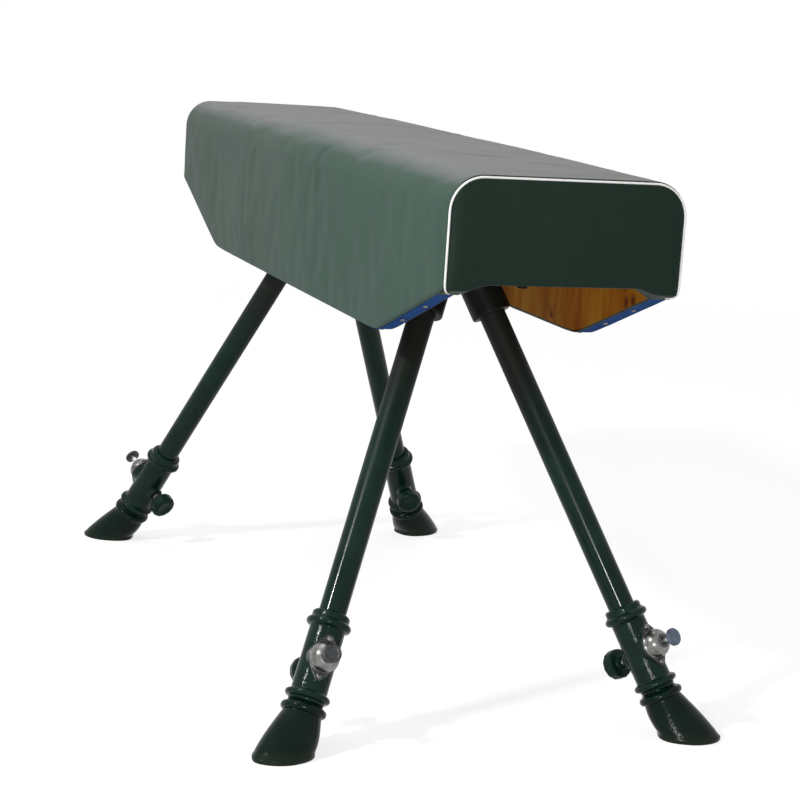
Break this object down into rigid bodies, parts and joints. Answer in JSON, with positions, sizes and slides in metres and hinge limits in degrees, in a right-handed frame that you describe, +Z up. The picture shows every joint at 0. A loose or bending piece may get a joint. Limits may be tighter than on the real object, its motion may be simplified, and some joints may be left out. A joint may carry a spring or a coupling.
{
  "type": "vaulting horse",
  "caption": "Padded leatherette vaulting horse: a wooden body open underneath, on splayed telescopic legs with spring pins, clamp knobs and hoof feet.",
  "frame": {"origin": "on the floor under the middle of the body, legs at their lowest setting", "axes": "+X along the body to its front end, +Y to its left, +Z up"},
  "size_m": [1.6006, 0.7598, 0.8838],
  "materials": {
    "leatherette": "matt grey-green leatherette with a fine grain",
    "end_leatherette": "dark green leatherette with a fine grain",
    "piping": "white vinyl piping",
    "webbing": "blue woven strip, tacked",
    "padding": "felt and foam padding",
    "wood": "varnished knotty pine",
    "black_paint": "black paint on steel",
    "zinc": "zinc-plated steel",
    "green_paint": "glossy dark green paint on steel tube",
    "cast_paint": "glossy dark green paint on rough cast iron",
    "tube_steel": "drawn steel tube",
    "bright_metal": "bright zinc-plated steel",
    "pin_metal": "blue zinc-plated steel",
    "spring_steel": "spring steel wire",
    "screw_steel": "plain steel screw",
    "knob_paint": "dark green paint on a cast knob"
  },
  "bodies": {
    "root": {"leather_cover": "leatherette", "end_cover_front": "end_leatherette", "end_cover_rear": "end_leatherette", "piping_front": "piping", "piping_rear": "piping", "edge_strip_left": "webbing", "edge_strip_right": "webbing", "top_pad": "padding", "side_pad_left": "padding", "side_pad_right": "padding", "end_pad_front": "padding", "end_pad_rear": "padding", "side_board_left": "wood", "side_board_right": "wood", "end_board_front": "wood", "end_board_rear": "wood", "top_board": "wood", "bearer_front": "wood", "bearer_rear": "wood", "leg_bracket_front": "black_paint", "leg_bracket_rear": "black_paint", "stud_plate_front": "zinc", "stud_plate_rear": "zinc", "outer_tube_front_left": "green_paint", "lock_casting_front_left": "cast_paint", "plunger_housing_front_left": "bright_metal", "plunger_spring_front_left": "spring_steel", "outer_tube_front_right": "green_paint", "lock_casting_front_right": "cast_paint", "plunger_housing_front_right": "bright_metal", "plunger_spring_front_right": "spring_steel", "outer_tube_rear_left": "green_paint", "lock_casting_rear_left": "cast_paint", "plunger_housing_rear_left": "bright_metal", "plunger_spring_rear_left": "spring_steel", "outer_tube_rear_right": "green_paint", "lock_casting_rear_right": "cast_paint", "plunger_housing_rear_right": "bright_metal", "plunger_spring_rear_right": "spring_steel"},
    "leg_front_left": {"inner_tube_front_left": "tube_steel", "hoof_front_left": "cast_paint"},
    "pin_front_left": {"plunger_pin_front_left": "pin_metal"},
    "screw_front_left": {"clamp_screw_front_left": "screw_steel"},
    "knob_front_left": {"clamp_knob_front_left": "knob_paint"},
    "leg_front_right": {"inner_tube_front_right": "tube_steel", "hoof_front_right": "cast_paint"},
    "pin_front_right": {"plunger_pin_front_right": "pin_metal"},
    "screw_front_right": {"clamp_screw_front_right": "screw_steel"},
    "knob_front_right": {"clamp_knob_front_right": "knob_paint"},
    "leg_rear_left": {"inner_tube_rear_left": "tube_steel", "hoof_rear_left": "cast_paint"},
    "pin_rear_left": {"plunger_pin_rear_left": "pin_metal"},
    "screw_rear_left": {"clamp_screw_rear_left": "screw_steel"},
    "knob_rear_left": {"clamp_knob_rear_left": "knob_paint"},
    "leg_rear_right": {"inner_tube_rear_right": "tube_steel", "hoof_rear_right": "cast_paint"},
    "pin_rear_right": {"plunger_pin_rear_right": "pin_metal"},
    "screw_rear_right": {"clamp_screw_rear_right": "screw_steel"},
    "knob_rear_right": {"clamp_knob_rear_right": "knob_paint"}
  },
  "joints": [
    {"name": "leg_slide_front_left", "type": "slide", "parent": "root", "child": "leg_front_left", "axis": [0.38, 0.3543, -0.8545], "range_m": [0, 0.4096]},
    {"name": "plunger_pull_front_left", "type": "slide", "parent": "root", "child": "pin_front_left", "axis": [0.8051, 0.3282, 0.4941], "range_m": [-0.006, 0.004], "stiffness_N_per_m": 1500, "springref_m": -0.01, "deforming": ["plunger_spring_front_left"]},
    {"name": "clamp_feed_front_left", "type": "slide", "parent": "root", "child": "screw_front_left", "axis": [-0.8051, -0.3282, -0.4941], "range_m": [0, 0.0035]},
    {"name": "clamp_turn_front_left", "type": "hinge", "parent": "screw_front_left", "child": "knob_front_left", "pos_m": [0.5545, 0.2487, 0.08998], "axis": [-0.8051, -0.3282, -0.4941], "range_deg": [0, 720]},
    {"name": "leg_slide_front_right", "type": "slide", "parent": "root", "child": "leg_front_right", "axis": [0.38, -0.3543, -0.8545], "range_m": [0, 0.4096]},
    {"name": "plunger_pull_front_right", "type": "slide", "parent": "root", "child": "pin_front_right", "axis": [0.9123, -0.0089, 0.4094], "range_m": [-0.006, 0.004], "stiffness_N_per_m": 1500, "springref_m": -0.01, "deforming": ["plunger_spring_front_right"]},
    {"name": "clamp_feed_front_right", "type": "slide", "parent": "root", "child": "screw_front_right", "axis": [-0.9123, 0.0089, -0.4094], "range_m": [0, 0.0035]},
    {"name": "clamp_turn_front_right", "type": "hinge", "parent": "screw_front_right", "child": "knob_front_right", "pos_m": [0.54807, -0.26786, 0.09506], "axis": [-0.9123, 0.0089, -0.4094], "range_deg": [0, 720]},
    {"name": "leg_slide_rear_left", "type": "slide", "parent": "root", "child": "leg_rear_left", "axis": [-0.38, 0.3543, -0.8545], "range_m": [0, 0.4096]},
    {"name": "plunger_pull_rear_left", "type": "slide", "parent": "root", "child": "pin_rear_left", "axis": [-0.9123, 0.0089, 0.4094], "range_m": [-0.006, 0.004], "stiffness_N_per_m": 1500, "springref_m": -0.01, "deforming": ["plunger_spring_rear_left"]},
    {"name": "clamp_feed_rear_left", "type": "slide", "parent": "root", "child": "screw_rear_left", "axis": [0.9123, -0.0089, -0.4094], "range_m": [0, 0.0035]},
    {"name": "clamp_turn_rear_left", "type": "hinge", "parent": "screw_rear_left", "child": "knob_rear_left", "pos_m": [-0.54807, 0.26786, 0.09506], "axis": [0.9123, -0.0089, -0.4094], "range_deg": [0, 720]},
    {"name": "leg_slide_rear_right", "type": "slide", "parent": "root", "child": "leg_rear_right", "axis": [-0.38, -0.3543, -0.8545], "range_m": [0, 0.4096]},
    {"name": "plunger_pull_rear_right", "type": "slide", "parent": "root", "child": "pin_rear_right", "axis": [-0.8051, -0.3282, 0.4941], "range_m": [-0.006, 0.004], "stiffness_N_per_m": 1500, "springref_m": -0.01, "deforming": ["plunger_spring_rear_right"]},
    {"name": "clamp_feed_rear_right", "type": "slide", "parent": "root", "child": "screw_rear_right", "axis": [0.8051, 0.3282, -0.4941], "range_m": [0, 0.0035]},
    {"name": "clamp_turn_rear_right", "type": "hinge", "parent": "screw_rear_right", "child": "knob_rear_right", "pos_m": [-0.5545, -0.2487, 0.08998], "axis": [0.8051, 0.3282, -0.4941], "range_deg": [0, 720]}
  ],
  "couplings": [
    {"joint": "clamp_feed_front_left", "follows": "clamp_turn_front_left", "m_per_rad": 0.0002785},
    {"joint": "clamp_feed_front_right", "follows": "clamp_turn_front_right", "m_per_rad": 0.0002785},
    {"joint": "clamp_feed_rear_left", "follows": "clamp_turn_rear_left", "m_per_rad": 0.0002785},
    {"joint": "clamp_feed_rear_right", "follows": "clamp_turn_rear_right", "m_per_rad": 0.0002785}
  ]
}
